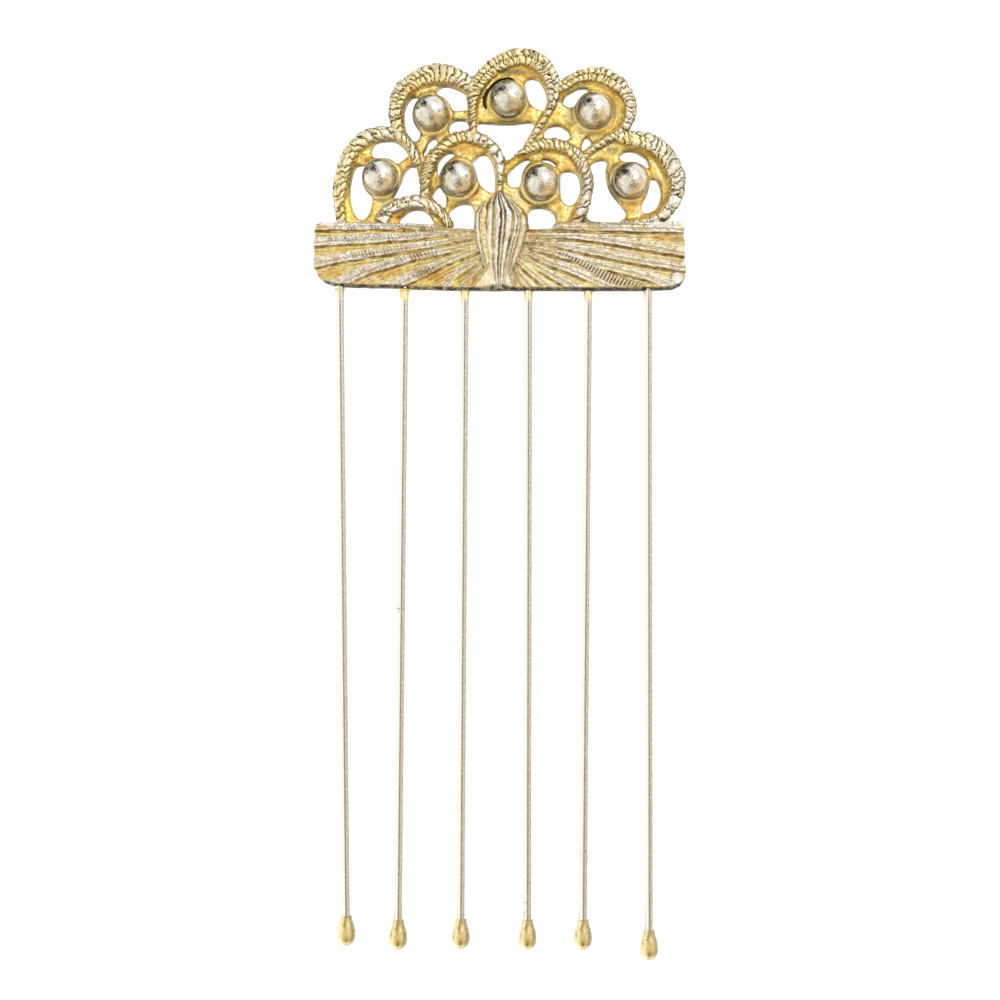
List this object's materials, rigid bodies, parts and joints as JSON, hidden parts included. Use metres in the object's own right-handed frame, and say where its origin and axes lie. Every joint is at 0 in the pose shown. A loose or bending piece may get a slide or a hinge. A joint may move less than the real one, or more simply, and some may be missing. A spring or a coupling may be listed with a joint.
{
  "type": "ornamental hair comb",
  "caption": "Ornamental hair comb with a cast openwork crown of gadrooned loops, polished balls in seats, a ribbed bar with a central leaf, and straight wire tines with drop-shaped tips.",
  "frame": {"origin": "under the middle of the comb's box, on the surface that it lies on", "axes": "+Y from the tines towards the crown, +Z out of the ornament's front, +X to the right as the front is seen"},
  "size_m": [0.0466, 0.1142, 0.0051],
  "materials": {
    "gilt_casting": "worn gilding, silver-grey on the raised ribs and golden brown in the hollows",
    "polished_ball": "mirror polished with fine wear",
    "wire": "drawn wire with thin, pale gilding",
    "tip_metal": "polished yellow gilding"
  },
  "bodies": {
    "root": {"head": "gilt_casting", "ball_1": "polished_ball", "ball_2": "polished_ball", "ball_3": "polished_ball", "ball_4": "polished_ball", "ball_5": "polished_ball", "ball_6": "polished_ball", "ball_7": "polished_ball", "tine_1": "wire", "tine_2": "wire", "tine_3": "wire", "tine_4": "wire", "tine_5": "wire", "tine_6": "wire", "tip_1": "tip_metal", "tip_2": "tip_metal", "tip_3": "tip_metal", "tip_4": "tip_metal", "tip_5": "tip_metal", "tip_6": "tip_metal"}
  },
  "joints": []
}
